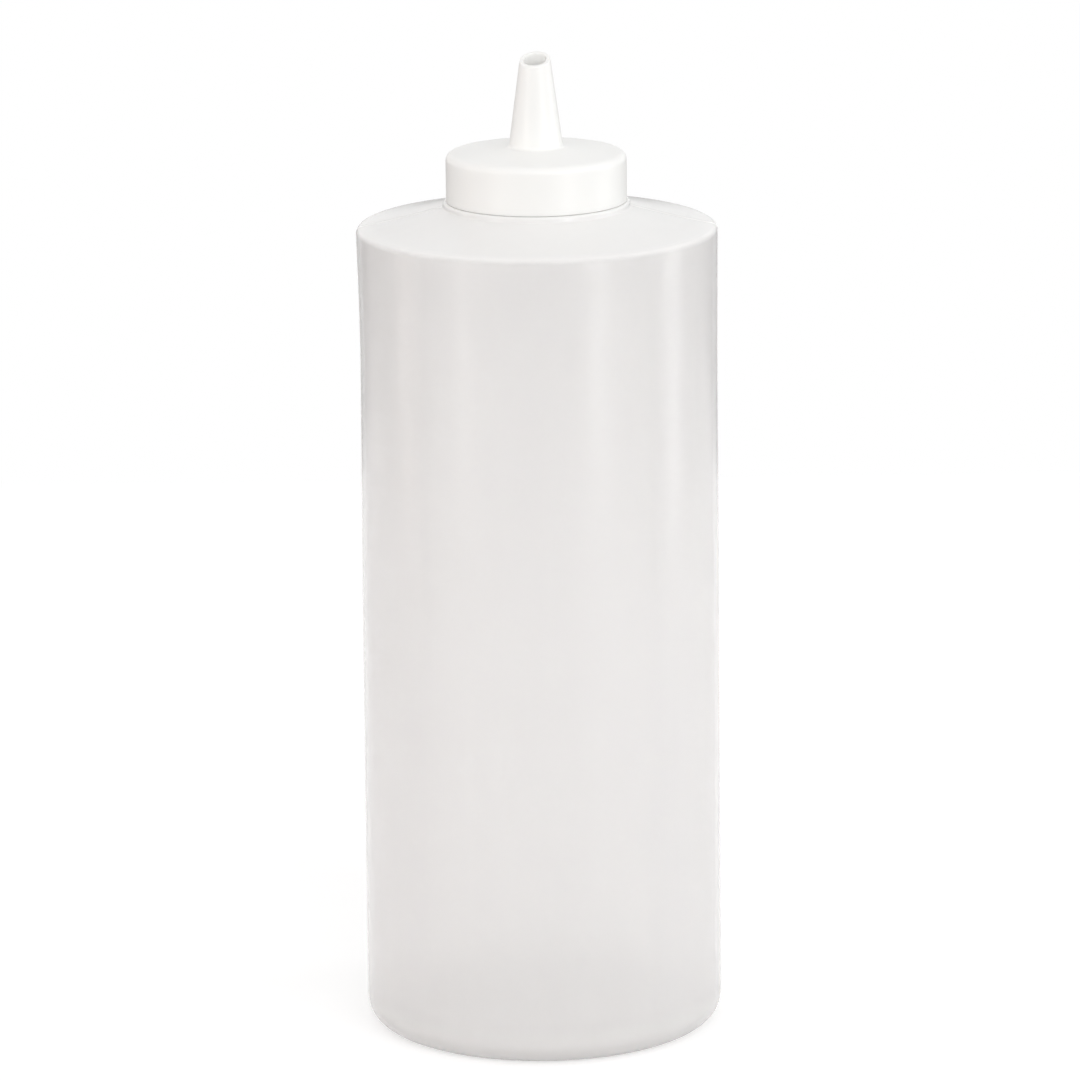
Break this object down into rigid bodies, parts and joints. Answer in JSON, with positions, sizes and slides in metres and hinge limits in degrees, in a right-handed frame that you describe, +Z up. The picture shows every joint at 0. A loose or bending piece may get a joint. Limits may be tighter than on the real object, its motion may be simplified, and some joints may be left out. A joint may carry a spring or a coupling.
{
  "type": "squeeze sauce bottle",
  "caption": "Round squeeze bottle with a sloping shoulder, a sealing washer and a screw cap that ends in an open cone tip, for dispensing sauces.",
  "frame": {"origin": "centre of the plane that the bottle stands on", "axes": "+Z up along the bottle's axis; -Y to the pictured front; the mould's parting line lies at +X and -X"},
  "size_m": [0.0828, 0.0824, 0.2279],
  "materials": {
    "natural_polyethylene": "blow-moulded, translucent, satin",
    "foamed_polyethylene": "matte",
    "white_polyethylene": "injection-moulded, satin"
  },
  "bodies": {
    "bottle": {"bottle": "natural_polyethylene"},
    "washer": {"sealing_washer": "foamed_polyethylene"},
    "cap": {"cone_tip_cap": "white_polyethylene"}
  },
  "joints": [
    {"name": "cap_rise", "type": "slide", "parent": "bottle", "child": "washer", "axis": [0, 0, 1], "range_m": [0, 0.01058]},
    {"name": "cap_turn", "type": "hinge", "parent": "washer", "child": "cap", "pos_m": [0, 0, 0.2], "axis": [0, 0, 1], "range_deg": [0, 900]}
  ],
  "couplings": [
    {"joint": "cap_turn", "follows": "cap_rise", "rad_per_m": 1484.3}
  ]
}
